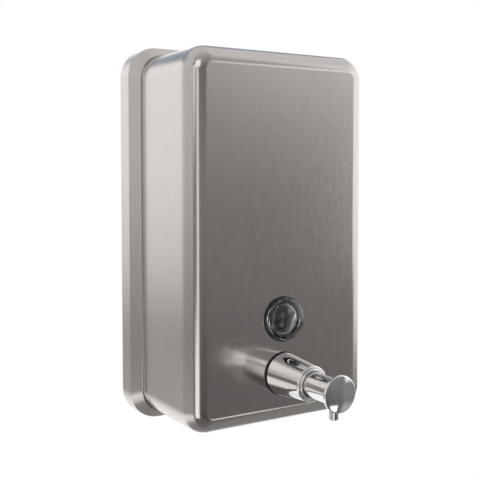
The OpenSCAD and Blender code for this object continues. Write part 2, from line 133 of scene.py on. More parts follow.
@contextmanager
def editing(obj: bpy.types.Object) -> Iterator[None]:
    """Opens an object in edit mode with nothing selected, and closes it again.

    Args:
        obj: The object to edit.

    Yields:
        Nothing, while the object is open.
    """
    activate(obj)
    bpy.ops.object.mode_set(mode="EDIT")
    bpy.ops.mesh.select_mode(type="VERT")
    bpy.ops.mesh.select_all(action="DESELECT")
    yield
    bpy.ops.object.mode_set(mode="OBJECT")


def modify(obj: bpy.types.Object, kind: str, **settings: object) -> None:
    """Adds a modifier with its settings and applies it.

    Args:
        obj: The object to modify.
        kind: The modifier's type.
        **settings: The modifier's properties.
    """
    activate(obj)
    modifier = obj.modifiers.new(kind.lower(), kind)
    for name, value in settings.items():
        setattr(modifier, name, value)
    bpy.ops.object.modifier_apply(modifier=modifier.name)


def ease_edges(obj: bpy.types.Object, width: float, segments: int = 3, angle: float = 30.0) -> None:
    """Rounds every edge that is sharper than an angle.

    Args:
        obj: The object to round.
        width: How far the rounding reaches from the edge.
        segments: Faces across each rounded edge.
        angle: The least angle of a sharp edge, in degrees.
    """
    modify(obj, "BEVEL", width=width, segments=segments, limit_method="ANGLE",
           angle_limit=math.radians(angle), use_clamp_overlap=True, harden_normals=False)


def polish(obj: bpy.types.Object, angle: float = 35.0) -> None:
    """Shades a piece smooth up to an angle and keeps its flat faces flat.

    Args:
        obj: The object to shade.
        angle: The greatest angle that is shaded smooth, in degrees.
    """
    activate(obj)
    bpy.ops.object.shade_smooth_by_angle(angle=math.radians(angle))
    modify(obj, "WEIGHTED_NORMAL", weight=100, keep_sharp=True)


def cut(obj: bpy.types.Object, *cutters: bpy.types.Object) -> None:
    """Cuts holes in a piece and deletes what they were cut with.

    Args:
        obj: The piece.
        *cutters: Closed shapes that are taken away from it.
    """
    for cutter in cutters:
        modify(obj, "BOOLEAN", operation="DIFFERENCE", object=cutter, solver="MANIFOLD")
        bpy.data.objects.remove(cutter)


@dataclass(frozen=True)
class Circle:
    """A round outline of a loft.

    Attributes:
        centre: Where its middle is.
        radius: Its radius.
        facing: The way it faces.
        sides: Its number of straight edges.
    """

    centre: Vector
    radius: float
    facing: Facing = Facing.FRONT
    sides: int = 96

    def add(self) -> None:
        """Adds the outline to the mesh in edit mode, filled and selected."""
        bpy.ops.mesh.primitive_circle_add(vertices=self.sides, radius=self.radius, fill_type="NGON",
                                          location=self.centre, rotation=self.facing.value)


@dataclass(frozen=True)
class RoundRect:
    """An outline of a loft with four straight sides and four round corners.

    Attributes:
        centre: Where its middle is.
        width: Its width.
        height: Its height.
        corner: The radius of its corners.
        facing: The way it faces.
        steps: Straight edges round each corner.
    """

    centre: Vector
    width: float
    height: float
    corner: float
    facing: Facing = Facing.FRONT
    steps: int = 20

    def add(self) -> None:
        """Adds the outline to the mesh in edit mode, filled and selected."""
        bpy.ops.mesh.primitive_plane_add(size=1.0, location=self.centre, rotation=self.facing.value)
        upright = self.facing is Facing.FRONT
        grown = (self.width, 1.0, self.height) if upright else (self.width, self.height, 1.0)
        bpy.ops.transform.resize(value=grown, center_override=self.centre)
        bpy.ops.mesh.bevel(affect="VERTICES", offset=self.corner, segments=self.steps,
                           offset_type="OFFSET", clamp_overlap=False)


def loft(name: str, outlines: Sequence[Circle | RoundRect], ends: Ends) -> bpy.types.Object:
    """Bridges a row of outlines into one surface.

    Args:
        name: The new object's name.
        outlines: The outlines in order, all with the same number of points.
        ends: Whether the surface is open, capped at both ends or joined end to end.

    Returns:
        The new object, with its faces pointing outwards.
    """
    obj = bpy.data.objects.new(name, bpy.data.meshes.new(name))
    bpy.context.scene.collection.objects.link(obj)
    with editing(obj):
        for outline in set_apart(outlines):
            bpy.ops.mesh.select_all(action="DESELECT")
            outline.add()
            bpy.ops.object.vertex_group_assign_new()
            bpy.ops.mesh.delete(type="ONLY_FACE")
        count = len(outlines)
        pairs = [(i, i + 1) for i in range(count - 1)]
        if ends is Ends.JOINED:
            pairs.append((count - 1, 0))
        for pair in pairs:
            pick_groups(obj, pair)
            bpy.ops.mesh.bridge_edge_loops()
        if ends is Ends.CAPPED:
            for end in (0, count - 1):
                pick_groups(obj, (end,))
                bpy.ops.mesh.edge_face_add()
        bpy.ops.mesh.select_all(action="SELECT")
        bpy.ops.mesh.normals_make_consistent(inside=False)
    obj.vertex_groups.clear()
    return obj


def set_apart(outlines: Sequence[Circle | RoundRect]) -> list[Circle | RoundRect]:
    """Moves level neighbours a hair apart, because a bridge between them needs a direction.

    Args:
        outlines: The outlines in order.

    Returns:
        The outlines, each clear of the one before it and of the first.
    """
    placed: list[Circle | RoundRect] = []
    for outline in outlines:
        nudge = Vector((0, 0, HAIR)) if outline.facing is Facing.UP else Vector((0, HAIR, 0))
        near = placed[-1:] + placed[:1]
        least = 0.9 * nudge.dot(nudge)
        while any(abs((outline.centre - other.centre).dot(nudge)) < least for other in near):
            outline = replace(outline, centre=outline.centre + nudge)
        placed.append(outline)
    return placed


def pick_groups(obj: bpy.types.Object, numbers: Sequence[int]) -> None:
    """Selects the points of some vertex groups, in edit mode.

    Args:
        obj: The object being edited.
        numbers: The groups' numbers.
    """
    bpy.ops.mesh.select_mode(type="VERT")
    bpy.ops.mesh.select_all(action="DESELECT")
    for number in numbers:
        obj.vertex_groups.active_index = number
        bpy.ops.object.vertex_group_select()


def turn(name: str, centre: Vector, profile: Sequence[Point], ends: Ends,
         facing: Facing = Facing.FRONT, sides: int = 96) -> bpy.types.Object:
    """Lofts circles into a turned piece.

    Args:
        name: The new object's name.
        centre: A point on the piece's axis, from which the profile's places are measured.
        profile: (radius, place along the axis) of each circle, in order.
        ends: Whether the piece is capped or joined end to end.
        facing: FRONT measures places along +Y, UP along +Z.
        sides: Straight edges round each circle.

    Returns:
        The new object.
    """
    along = Vector((0, 0, 1)) if facing is Facing.UP else Vector((0, 1, 0))
    outlines = [Circle(centre + along * place, radius, facing, sides) for radius, place in profile]
    return loft(name, outlines, ends)


def drill(obj: bpy.types.Object, centre: Vector, radius: float, reach: Point,
          facing: Facing = Facing.FRONT, sides: int = 96) -> None:
    """Cuts a round hole in a piece.

    Args:
        obj: The piece.
        centre: A point on the hole's axis, from which its reach is measured.
        radius: The hole's radius.
        reach: Where the cut starts and stops along the axis.
        facing: FRONT cuts along Y, UP along Z.
        sides: Straight edges round the hole.
    """
    profile = [(radius, place) for place in reach]
    cut(obj, turn("drill", centre, profile, Ends.CAPPED, facing, sides))


def arc(centre: Point, radius: float, start: float, stop: float, steps: int) -> list[Point]:
    """Points on a round stretch of a profile.

    Args:
        centre: The arc's centre, as (radius, place).
        radius: The arc's own radius.
        start: The first angle, in degrees, from growing radius towards growing place.
        stop: The last angle.
        steps: Straight stretches along the arc.

    Returns:
        The points, both ends included.
    """
    angles = [math.radians(start + (stop - start) * i / steps) for i in range(steps + 1)]
    return [(centre[0] + radius * math.cos(a), centre[1] + radius * math.sin(a)) for a in angles]


def dome(top: float, height: float, foot: float, start: float, steps: int) -> list[Point]:
    """Points on the profile of a shallow dome that faces the front.

    Args:
        top: The place of its top along the axis.
        height: Its height.
        foot: Its radius at the foot.
        start: How far from the axis the first point lies, in degrees of the dome's sphere.
        steps: Straight stretches from the top to the foot.

    Returns:
        The points, from the top to the foot.
    """
    sphere = (foot * foot + height * height) / (2 * height)
    spread = math.degrees(math.asin(foot / sphere))
    return arc((0.0, top + sphere), sphere, -90.0 + start, -90.0 + spread, steps)


def middle(node: str) -> Vector:
    """The centre of a CAD node's box.

    Args:
        node: The node's name.

    Returns:
        The centre.
    """
    low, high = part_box(node)
    return (low + high) / 2


# ---- finishes ----


@dataclass
class Wiring:
    """Adds and joins the nodes of one material or group.

    Attributes:
        tree: The node tree being built.
    """

    tree: bpy.types.NodeTree

    def add(self, kind: str, **settings: object) -> bpy.types.Node:
        """Adds a node.

        Args:
            kind: The node's type, without its ShaderNode prefix.
            **settings: The node's properties.

        Returns:
            The new node.
        """
        node = self.tree.nodes.new("ShaderNode" + kind)
        for name, value in settings.items():
            setattr(node, name, value)
        return node

    def join(self, source: bpy.types.NodeSocket, target: bpy.types.NodeSocket) -> None:
        """Links an output to an input."""
        self.tree.links.new(source, target)

    def maths(self, operation: str, *values: object) -> bpy.types.NodeSocket:
        """Adds a Math node.

        Args:
            operation: What it does.
            *values: Its inputs, each a number or the output of another node.

        Returns:
            Its output.
        """
        node = self.add("Math", operation=operation)
        for socket, value in zip(node.inputs, values):
            if isinstance(value, bpy.types.NodeSocket):
                self.join(value, socket)
            else:
                socket.default_value = value
        return node.outputs[0]

    def noise(self, vector: bpy.types.NodeSocket, scale: float, detail: float) -> bpy.types.NodeSocket:
        """Adds a noise texture.

        Args:
            vector: Where it is read.
            scale: How fine it is.
            detail: How many finer layers it has.

        Returns:
            Its value.
        """
        node = self.add("TexNoise")
        self.join(vector, node.inputs["Vector"])
        node.inputs["Scale"].default_value = scale
        node.inputs["Detail"].default_value = detail
        return node.outputs["Fac"]

    def weigh(self, first: bpy.types.NodeSocket, second: bpy.types.NodeSocket,
              share: float) -> bpy.types.NodeSocket:
        """Adds two values by their shares.

        Args:
            first: One value.
            second: The other value.
            share: The first value's share, from 0 to 1.

        Returns:
            The sum.
        """
        return self.maths("ADD", self.maths("MULTIPLY", first, share),
                          self.maths("MULTIPLY", second, 1.0 - share))

    def stretch(self, value: bpy.types.NodeSocket, low: float, high: float) -> bpy.types.NodeSocket:
        """Maps a 0 to 1 value onto another range.

        Args:
            value: The value.
            low: What 0 becomes.
            high: What 1 becomes.

        Returns:
            The mapped value.
        """
        node = self.add("MapRange")
        self.join(value, node.inputs["Value"])
        node.inputs["To Min"].default_value = low
        node.inputs["To Max"].default_value = high
        return node.outputs["Result"]


def shared_group(name: str, inputs: Sequence[tuple[str, str]], outputs: Sequence[tuple[str, str]],
                 wire: Callable[[Wiring, Sockets, Sockets], None]) -> bpy.types.NodeTree:
    """Builds a shader group once.

    Args:
        name: The group's name.
        inputs: (name, socket type) of each input.
        outputs: (name, socket type) of each output.
        wire: Fills the group, given its wiring, its input sockets and its output sockets.

    Returns:
        The group.
    """
    found = bpy.data.node_groups.get(name)
    if found:
        return found
    tree = bpy.data.node_groups.new(name, "ShaderNodeTree")
    for label, kind in inputs:
        tree.interface.new_socket(label, in_out="INPUT", socket_type=kind)
    for label, kind in outputs:
        tree.interface.new_socket(label, in_out="OUTPUT", socket_type=kind)
    entry, leave = tree.nodes.new("NodeGroupInput"), tree.nodes.new("NodeGroupOutput")
    wire(Wiring(tree), dict(entry.outputs.items()), dict(leave.inputs.items()))
    return tree


def sheet_grain() -> bpy.types.NodeTree:
    """Builds the grain of brushed sheet: fine scratches up the walls, and across on level faces.

    Returns:
        The shader group.
    """
    level_from, coarse_share = 0.8, 0.3

    def wire(w: Wiring, given: Sockets, out: Sockets) -> None:
        """Fills the group.

        Args:
            w: The group's wiring.
            given: Its inputs.
            out: Its outputs.
        """
        parts = w.add("SeparateXYZ")
        w.join(given["Vector"], parts.inputs[0])
        tilt = w.add("SeparateXYZ")
        w.join(w.add("NewGeometry").outputs["True Normal"], tilt.inputs[0])
        level = w.maths("GREATER_THAN", w.maths("ABSOLUTE", tilt.outputs["Z"]), level_from)
        heights = []
        for across, along in (("X", "Z"), ("Z", "X")):
            fine = {across: given["Fineness"], "Y": given["Fineness"], along: given["Run"]}
            place = w.add("CombineXYZ")
            for axis in "XYZ":
                w.join(w.maths("MULTIPLY", parts.outputs[axis], fine[axis]), place.inputs[axis])
            coarse = w.noise(place.outputs[0], scale=0.5, detail=2.0)
            sharp = w.noise(place.outputs[0], scale=1.0, detail=3.0)
            heights.append(w.weigh(coarse, sharp, coarse_share))
        mix = w.add("Mix")
        w.join(level, mix.inputs["Factor"])
        w.join(heights[0], mix.inputs["A"])
        w.join(heights[1], mix.inputs["B"])
        w.join(mix.outputs["Result"], out["Height"])
        w.join(w.stretch(mix.outputs["Result"], low=-0.6, high=1.6), out["Streaks"])

    inputs = [("Vector", "NodeSocketVector"), ("Fineness", "NodeSocketFloat"),
              ("Run", "NodeSocketFloat")]
    outputs = [("Height", "NodeSocketFloat"), ("Streaks", "NodeSocketFloat")]
    return shared_group("sheet_grain", inputs, outputs, wire)


def handling_marks() -> bpy.types.NodeTree:
    """Builds the faint smears and clouding that hands and cloths leave on metal and plastic.

    Returns:
        The shader group.
    """
    broad_share = 0.7

    def wire(w: Wiring, given: Sockets, out: Sockets) -> None:
        """Fills the group.

        Args:
            w: The group's wiring.
            given: Its inputs.
            out: Its outputs.
        """
        broad = w.noise(given["Vector"], scale=22.0, detail=3.0)
        small = w.noise(given["Vector"], scale=140.0, detail=2.0)
        cloud = w.stretch(w.weigh(broad, small, broad_share), low=-0.5, high=1.5)
        w.join(w.maths("MULTIPLY", cloud, given["Amount"]), out["Marks"])

    inputs = [("Vector", "NodeSocketVector"), ("Amount", "NodeSocketFloat")]
    return shared_group("handling_marks", inputs, [("Marks", "NodeSocketFloat")], wire)


@dataclass(frozen=True)
class Finish:
    """A plain smooth finish, and the base of the others.

    Attributes:
        name: The material's name.
        slot: The record's material slot that it belongs to; not used.
        colour: Its base colour.
        metallic: 1 for a metal, 0 for anything else.
        roughness: Its roughness where nothing has marked it.
        marks: How far handling marks change the roughness.
        bump_scale: How fine its surface texture is.
        bump_height: How deep its surface texture is, in metres.
        tone_depth: The share by which its colour varies.
    """

    name: str
    slot: str
    colour: Colour
    metallic: float = 0.0
    roughness: float = 0.4
    marks: float = 0.05
    bump_scale: float = 900.0
    bump_height: float = 0.0
    tone_depth: float = 0.06

    @cache
    def material(self) -> bpy.types.Material:
        """Builds the material once.

        Returns:
            The material.
        """
        material = bpy.data.materials.new(self.name)
        material.use_nodes = True
        wiring = Wiring(material.node_tree)
        shader = material.node_tree.nodes["Principled BSDF"]
        shader.inputs["Base Color"].default_value = (*self.colour, 1.0)
        shader.inputs["Metallic"].default_value = self.metallic
        shader.inputs["Roughness"].default_value = self.roughness
        place = wiring.add("TexCoord").outputs["Object"]
        self.wire(wiring, shader, place)
        return material

    def wire(self, w: Wiring, shader: bpy.types.Node, place: bpy.types.NodeSocket) -> None:
        """Adds what varies over the surface.

        Args:
            w: The material's wiring.
            shader: The Principled shader.
            place: The object coordinates.
        """
        marks = self.marks_on(w, place)
        w.join(w.maths("ADD", marks, self.roughness), shader.inputs["Roughness"])
        self.tone(w, shader, w.noise(place, scale=60.0, detail=3.0))
        if self.bump_height:
            self.raise_bump(w, shader, w.noise(place, self.bump_scale, detail=2.0))

    def marks_on(self, w: Wiring, place: bpy.types.NodeSocket) -> bpy.types.NodeSocket:
        """Adds the handling marks.

        Args:
            w: The material's wiring.
            place: The object coordinates.

        Returns:
            How much rougher each place is.
        """
        group = w.add("Group", node_tree=handling_marks())
        w.join(place, group.inputs["Vector"])
        group.inputs["Amount"].default_value = self.marks
        return group.outputs["Marks"]

    def tone(self, w: Wiring, shader: bpy.types.Node, mask: bpy.types.NodeSocket) -> None:
        """Lets the base colour vary a little.

        Args:
            w: The material's wiring.
            shader: The Principled shader.
            mask: Where it is lighter, from 0 to 1.
        """
        mix = w.add("Mix", data_type="RGBA")
        w.join(mask, mix.inputs["Factor"])
        for end, strength in (("A", 1.0 - self.tone_depth), ("B", 1.0 + self.tone_depth)):
            mix.inputs[end].default_value = (*[min(1.0, c * strength) for c in self.colour], 1.0)
        w.join(mix.outputs["Result"], shader.inputs["Base Color"])

    def raise_bump(self, w: Wiring, shader: bpy.types.Node, height: bpy.types.NodeSocket) -> None:
        """Adds the surface texture.

        Args:
            w: The material's wiring.
            shader: The Principled shader.
            height: The texture's height, from 0 to 1.
        """
        bump = w.add("Bump")
        bump.inputs["Distance"].default_value = self.bump_height
        w.join(height, bump.inputs["Height"])
        w.join(bump.outputs["Normal"], shader.inputs["Normal"])


@dataclass(frozen=True)
class BrushedSheet(Finish):
    """Stainless sheet with a long straight grain.

    Attributes:
        tone_depth: The share by which the grain's streaks vary in colour.
        fineness: Scratches per metre across the grain.
        run: Scratches per metre along the grain.
        swing: How far the streaks change the roughness.
        anisotropy: How far the grain stretches a highlight across itself.
        grain_turn: The highlight's turn from the grain, as a share of a full turn.
        grain: The grain's direction, tipped off upright so that it lies along every face.
    """

    tone_depth: float = 0.05
    fineness: float = 3400.0
    run: float = 230.0
    swing: float = 0.03
    anisotropy: float = 0.5
    grain_turn: float = 0.25
    grain: tuple[float, float, float] = (0.03, 0.12, 1.0)

    def wire(self, w: Wiring, shader: bpy.types.Node, place: bpy.types.NodeSocket) -> None:
        """Adds the grain, its streaks of colour and roughness, and the handling marks.

        Args:
            w: The material's wiring.
            shader: The Principled shader.
            place: The object coordinates.
        """
        grain = w.add("Group", node_tree=sheet_grain())
        w.join(place, grain.inputs["Vector"])
        grain.inputs["Fineness"].default_value = self.fineness
        grain.inputs["Run"].default_value = self.run
        streaks = grain.outputs["Streaks"]
        rough = w.stretch(streaks, self.roughness - self.swing, self.roughness + self.swing)
        w.join(w.maths("ADD", rough, self.marks_on(w, place)), shader.inputs["Roughness"])
        self.tone(w, shader, streaks)
        self.raise_bump(w, shader, grain.outputs["Height"])
        shader.inputs["Anisotropic"].default_value = self.anisotropy
        shader.inputs["Anisotropic Rotation"].default_value = self.grain_turn
        tangent = w.add("CombineXYZ")
        for axis, part in zip("XYZ", self.grain):
            tangent.inputs[axis].default_value = part
        w.join(tangent.outputs[0], shader.inputs["Tangent"])


@dataclass(frozen=True)
class ClearPlastic(Finish):
    """Clear moulded acrylic.

    Attributes:
        bending: Its refractive index.
    """

    bending: float = 1.49

    def wire(self, w: Wiring, shader: bpy.types.Node, place: bpy.types.NodeSocket) -> None:
        """Lets light through, and adds the faint haze of handling marks.

        Args:
            w: The material's wiring.
            shader: The Principled shader.
            place: The object coordinates.
        """
        shader.inputs["Transmission Weight"].default_value = 1.0
        shader.inputs["IOR"].default_value = self.bending
        w.join(w.maths("ADD", self.marks_on(w, place), self.roughness), shader.inputs["Roughness"])


SATIN_STEEL = BrushedSheet("satin_steel", "brushed_steel", (0.61, 0.57, 0.548), metallic=1.0,
                           roughness=0.15, marks=0.02, bump_height=0.001 * MM)
MILL_STEEL = BrushedSheet("rolled_steel", "mill_steel", (0.55, 0.55, 0.545), metallic=1.0,
                          roughness=0.38, marks=0.08, bump_height=0.004 * MM, fineness=700.0,
                          run=60.0, anisotropy=0.2)
CHROME = Finish("bright_chrome", "chrome", (0.78, 0.775, 0.77), metallic=1.0, roughness=0.035,
                marks=0.03)
POLISHED_STEEL = Finish("bright_steel", "polished_steel", (0.62, 0.61, 0.60), metallic=1.0,
                        roughness=0.12, marks=0.06)
LOCK_BRASS = Finish("turned_brass", "lock_brass", (0.62, 0.47, 0.20), metallic=1.0,
                    roughness=0.25, marks=0.1, bump_scale=1200.0, bump_height=0.005 * MM)
BLACK_RUBBER = Finish("nitrile_black", "black_rubber", (0.008, 0.008, 0.008), roughness=0.5,
                      marks=0.1, bump_scale=1400.0, bump_height=0.01 * MM)
CLEAR_ACRYLIC = ClearPlastic("acrylic_clear", "clear_acrylic", (0.97, 0.98, 0.98), roughness=0.0,
                             marks=0.012)
WHITE_ACETAL = Finish("acetal_white", "white_acetal", (0.80, 0.80, 0.78), roughness=0.38,
                      marks=0.08, bump_scale=500.0, bump_height=0.01 * MM)
GREY_PLASTIC = Finish("moulded_grey", "grey_plastic", (0.16, 0.165, 0.17), roughness=0.45,
                      marks=0.08, bump_scale=700.0, bump_height=0.01 * MM)
BLACK_PLASTIC = Finish("moulded_black", "black_plastic", (0.015, 0.015, 0.016), roughness=0.4,
                       marks=0.08, bump_scale=700.0, bump_height=0.01 * MM)


def settle(piece: bpy.types.Object, body: Body, finish: Finish, *nodes: str) -> None:
    """Gives a finished piece its material and its body, and hides the CAD nodes that it stands for.

    Args:
        piece: The piece.
        body: The body that it rides on.
        finish: Its finish.
        *nodes: The CAD nodes that it replaces.
    """
    piece.data.materials.clear()
    piece.data.materials.append(finish.material())
    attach(piece, body.value)
    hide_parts(*nodes)
    log.info("%s: %d faces, stands for %s", piece.name, len(piece.data.polygons), ", ".join(nodes))


def eased_copy(frame: dict, node: str, name: str, width: float) -> bpy.types.Object:
    """A copy of a CAD node whose sharp edges are broken, as on a machined or moulded piece.

    Args:
        frame: The loaded frame.
        node: The CAD node.
        name: The copy's name.
        width: How far each broken edge reaches.

    Returns:
        The copy.
    """
    source = frame["nodes"][node]
    mesh = source.data.copy()
    obj = bpy.data.objects.new(name, mesh)
    bpy.context.scene.collection.objects.link(obj)
    with editing(obj):
        bpy.ops.mesh.select_all(action="SELECT")
        bpy.ops.mesh.customdata_custom_splitnormals_clear()
        bpy.ops.mesh.remove_doubles(threshold=0.001 * MM)
        bpy.ops.mesh.dissolve_limited(angle_limit=math.radians(0.5))
        bpy.ops.mesh.normals_make_consistent(inside=False)
    ease_edges(obj, width, segments=2)
    polish(obj)
    return obj


# ---- the tank and its back pan ----


@dataclass
class Tank:
    """The drawn steel tank.

    Attributes:
        corner: Radius of its corners, seen from the front.
        fillet: Radius of the edge round its front face.
        fillet_steps: Straight stretches across that edge.
        margin: Depth of the flat strip behind that edge, which keeps the sides shaded flat.
        sheet: Thickness of the steel.
        opening: Radius of the openings for the window and the pump.
        filler: Width and depth of the filler opening.
        filler_corner: Radius of the opening's corners.
        reach: How far a cut reaches to each side of the steel's outer face.
    """

    corner: float = 13.0 * MM
    fillet: float = 9.6 * MM
    fillet_steps: int = 14
    margin: float = 0.4 * MM
    sheet: float = 0.9 * MM
    opening: float = 9.25 * MM
    filler: Point = (56.0 * MM, 25.0 * MM)
    filler_corner: float = 4.0 * MM
    reach: float = 5.0 * MM

    def build(self) -> None:
        """Models the shell with its three openings."""
        shell = self.shell()
        self.pierce(shell)
        polish(shell)
        settle(shell, Body.HOUSING, SATIN_STEEL, "tank_shell")

    def shell(self) -> bpy.types.Object:
        """Lofts the shell from the inside of its front, round its rear rim, to its front face.

        Returns:
            The closed shell.
        """
        low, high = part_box("tank_shell")
        outer = self.skin(low, high, 0.0)
        inner = self.skin(low, high, self.sheet)
        return loft("tank_skin", [*reversed(inner), *outer], Ends.CAPPED)

    def skin(self, low: Vector, high: Vector, inset: float) -> list[RoundRect]:
        """The outlines of one side of the sheet, from the rear rim to the front face.

        Args:
            low: The tank's lowest corner.
            high: The tank's highest corner.
            inset: How far this side lies inside the outer one.

        Returns:
            The outlines.
        """
        bend = self.fillet - inset
        front = low.y + inset
        stations = [(0.0, high.y), (0.0, front + bend + self.margin)]
        for step in range(self.fillet_steps + 1):
            angle = math.radians(90.0 * step / self.fillet_steps)
            stations.append((bend * (1 - math.cos(angle)), front + bend * (1 - math.sin(angle))))
        centre = (low + high) / 2
        wide, tall = high.x - low.x - 2 * inset, high.z - low.z - 2 * inset
        return [RoundRect(Vector((centre.x, y, centre.z)), wide - 2 * step_in, tall - 2 * step_in,
                          self.corner - inset - step_in) for step_in, y in stations]

    def pierce(self, shell: bpy.types.Object) -> None:
        """Cuts the window, the pump and the filler openings.

        Args:
            shell: The shell.
        """
        low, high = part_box("tank_shell")
        for node in ("window_lens", "pump_cylinder"):
            centre = middle(node)
            drill(shell, Vector((centre.x, 0, centre.z)), self.opening,
                  (low.y - self.reach, low.y + self.reach))
        filler = middle("filler_collar")
        outlines = [RoundRect(Vector((filler.x, filler.y, z)), *self.filler, self.filler_corner,
                              Facing.UP, steps=8) for z in (high.z - self.reach, high.z + self.reach)]
        cut(shell, loft("filler_hole", outlines, Ends.CAPPED))


@dataclass
class BackPan:
    """The stepped pan that the tank is welded to.

    Attributes:
        corner: Radius of the pan's corners, seen from the front.
        lip_corner: Radius of the corners where its lip meets the tank.
        lip: How far the lip stands out from the tank's side.
        side: Depth of the straight side, from the wall.
        sheet: Thickness of the steel.
        bend: Radius of the pressed bend between the side and the bevel.
        bend_steps: Straight stretches across that bend.
        inner_bend: How far behind the side's front end the bevel's inner face ends.
        lip_depth: Depth of the lip's own straight side, in front of the bevel.
        lip_round: Radius of the lip's front edge.
        inner_start: How far behind the lip's front the bevel's inner face starts.
        leaf_end: How far from the wall the lip's folded leaf ends, against the tank.
        screw_hole: Radius of the locking screw's hole in the bottom.
        reach: How far its cut reaches to each side of the steel's outer face.
    """

    corner: float = 16.6 * MM
    lip_corner: float = 13.95 * MM
    lip: float = 0.95 * MM
    side: float = 10.9 * MM
    sheet: float = 0.9 * MM
    bend: float = 1.4 * MM
    bend_steps: int = 6
    inner_bend: float = 0.4 * MM
    lip_depth: float = 1.1 * MM
    lip_round: float = 0.6 * MM
    inner_start: float = 1.6 * MM
    leaf_end: float = 12.5 * MM
    screw_hole: float = 2.25 * MM
    reach: float = 3.0 * MM

    def build(self) -> None:
        """Models the pan as one folded strip of sheet."""
        low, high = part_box("rear_pan")
        tank_low, tank_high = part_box("tank_shell")
        wide, tall = high.x - low.x, high.z - low.z
        lip_wide = tank_high.x - tank_low.x + 2 * self.lip
        lip_tall = tank_high.z - tank_low.z + 2 * self.lip
        outlines = []
        for share, inset, y in self.section(low.y, (wide - lip_wide) / 2):
            corner = self.corner + (self.lip_corner - self.corner) * share
            across = wide - (wide - lip_wide) * share - 2 * inset
            upright = tall - (tall - lip_tall) * share - 2 * inset
            outlines.append(RoundRect(Vector((0, y, 0)), across, upright, corner - inset))
        pan = loft("pan_skin", outlines, Ends.JOINED)
        screw = middle("lock_screw")
        drill(pan, Vector((screw.x, screw.y, 0)), self.screw_hole,
              (low.z - self.reach, low.z + self.reach), Facing.UP, sides=48)
        polish(pan, angle=40.0)
        settle(pan, Body.HOUSING, SATIN_STEEL, "rear_pan")

    def section(self, lip_y: float, step: float) -> list[tuple[float, float, float]]:
        """The strip's cross-section.

        Args:
            lip_y: Where the lip ends, along Y.
            step: How far the lip lies inside the pan's side.

        Returns:
            (share of the step, inset, y) of each fold line, round the closed section.
        """
        side_y = -self.side
        straight = lip_y + self.lip_depth
        slope = math.atan2(step, side_y - straight)
        back_off = self.bend * math.tan(slope / 2)
        bends = []
        for i in range(self.bend_steps + 1):
            angle = slope * i / self.bend_steps
            inward = self.bend * (1 - math.cos(angle))
            bends.append((inward / step, 0.0, side_y + back_off - self.bend * math.sin(angle)))
        rounding = []
        for degrees in (0, 30, 60, 90):
            angle = math.radians(degrees)
            rounding.append((1.0, self.lip_round * (1 - math.cos(angle)),
                             lip_y + self.lip_round * (1 - math.sin(angle))))
        outer = [(0.0, 0.0, 0.0), (0.0, 0.0, -self.side / 2), *bends, (1.0, 0.0, straight)]
        leaf = [(1.0, self.sheet, lip_y), (1.0, self.sheet, -self.leaf_end), (1.0, 0.0, -self.leaf_end)]
        inner = [(1.0, 0.0, lip_y + self.inner_start), (0.0, self.sheet, side_y + self.inner_bend),
                 (0.0, self.sheet, 0.0)]
        return outer + rounding + leaf + inner


# ---- the window ----


